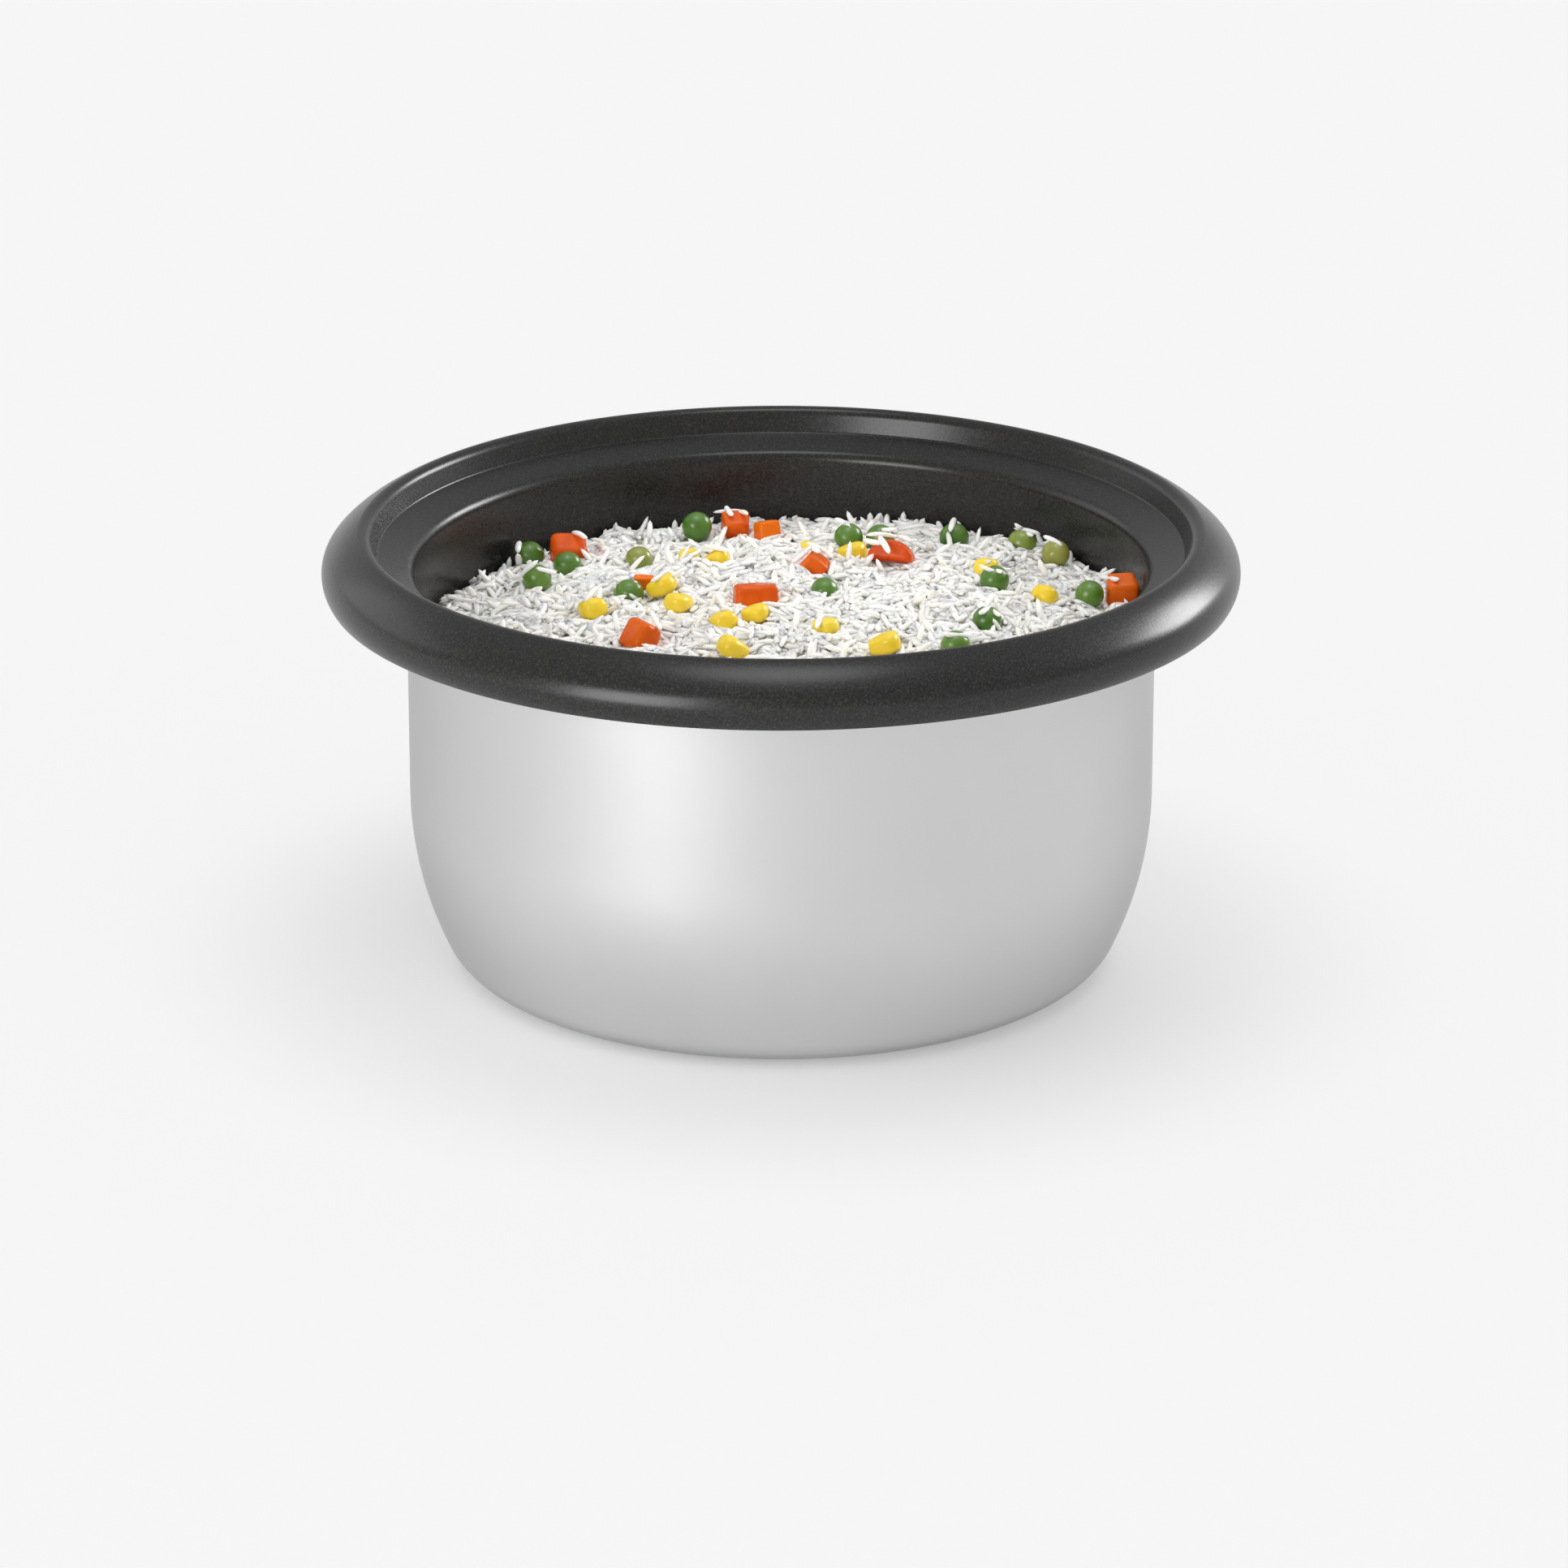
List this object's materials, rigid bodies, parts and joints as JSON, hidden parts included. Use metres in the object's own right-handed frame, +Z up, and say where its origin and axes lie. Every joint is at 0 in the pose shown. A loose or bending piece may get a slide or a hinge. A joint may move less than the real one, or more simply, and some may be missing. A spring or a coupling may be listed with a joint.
{
  "type": "rice cooker inner pot",
  "caption": "Removable inner cooking pot of a rice cooker: drawn aluminium with a non-stick inside, lid seat and broad rolled rim, filled with cooked rice and vegetables.",
  "frame": {"origin": "centre of the pot's flat base", "axes": "+Z up through the mouth of the pot, -Y towards the front"},
  "size_m": [0.25, 0.25, 0.123],
  "materials": {
    "satin_aluminium": "satin, finely spun",
    "nonstick_coating": "satin charcoal non-stick",
    "cooked_rice": "moist",
    "pea": "moist",
    "carrot": "moist",
    "sweetcorn": "moist"
  },
  "bodies": {
    "pot": {"pot_shell": "satin_aluminium", "nonstick_coating": "nonstick_coating"},
    "food": {"rice_bed": "cooked_rice", "pea_01": "pea", "pea_02": "pea", "pea_03": "pea", "pea_04": "pea", "pea_05": "pea", "pea_06": "pea", "pea_07": "pea", "pea_08": "pea", "pea_09": "pea", "pea_10": "pea", "pea_11": "pea", "pea_12": "pea", "pea_13": "pea", "pea_14": "pea", "pea_15": "pea", "pea_16": "pea", "pea_17": "pea", "pea_18": "pea", "pea_19": "pea", "pea_20": "pea", "carrot_01": "carrot", "carrot_02": "carrot", "carrot_03": "carrot", "carrot_04": "carrot", "carrot_05": "carrot", "carrot_06": "carrot", "carrot_07": "carrot", "carrot_08": "carrot", "carrot_09": "carrot", "carrot_10": "carrot", "carrot_11": "carrot", "carrot_slice_01": "carrot", "corn_01": "sweetcorn", "corn_02": "sweetcorn", "corn_03": "sweetcorn", "corn_04": "sweetcorn", "corn_05": "sweetcorn", "corn_06": "sweetcorn", "corn_07": "sweetcorn", "corn_08": "sweetcorn", "corn_09": "sweetcorn", "corn_10": "sweetcorn", "corn_11": "sweetcorn", "corn_12": "sweetcorn", "corn_13": "sweetcorn", "corn_14": "sweetcorn", "corn_15": "sweetcorn", "corn_16": "sweetcorn", "corn_17": "sweetcorn", "corn_18": "sweetcorn", "corn_19": "sweetcorn"}
  },
  "joints": [
    {"name": "food_lift", "type": "slide", "parent": "pot", "child": "food", "axis": [0, 0, 1], "range_m": [0, 0.14]}
  ]
}
